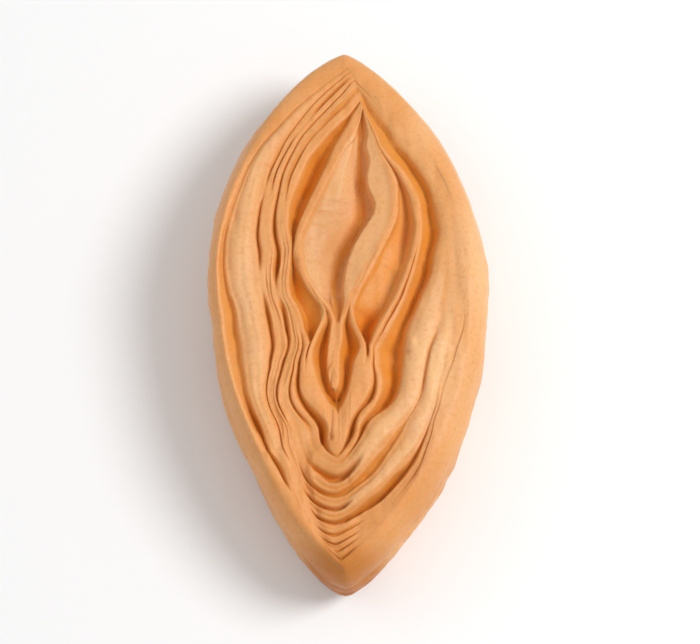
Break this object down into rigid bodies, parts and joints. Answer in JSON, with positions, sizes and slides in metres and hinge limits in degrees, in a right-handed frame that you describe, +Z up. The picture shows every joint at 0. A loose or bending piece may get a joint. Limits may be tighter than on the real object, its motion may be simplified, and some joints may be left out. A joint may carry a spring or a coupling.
{
  "type": "madatha kaja",
  "caption": "Leaf-shaped layered fried pastry: thin dough rolled flat and cut, with nested folds that crowd at both tips and open into pockets, inside a smooth syrup-glazed wrap.",
  "frame": {"origin": "under the middle of the piece, on the surface it lies on", "axes": "+Y along the piece, from the tip with the wide fold arcs towards the tip over the eye; +Z up, out of the shown cut face"},
  "size_m": [0.0485, 0.095, 0.022],
  "materials": {
    "crust": "fried dough soaked in syrup: satin gloss, peach-tan, deeper orange in the grooves"
  },
  "bodies": {
    "root": {"kaja": "crust"}
  },
  "joints": []
}
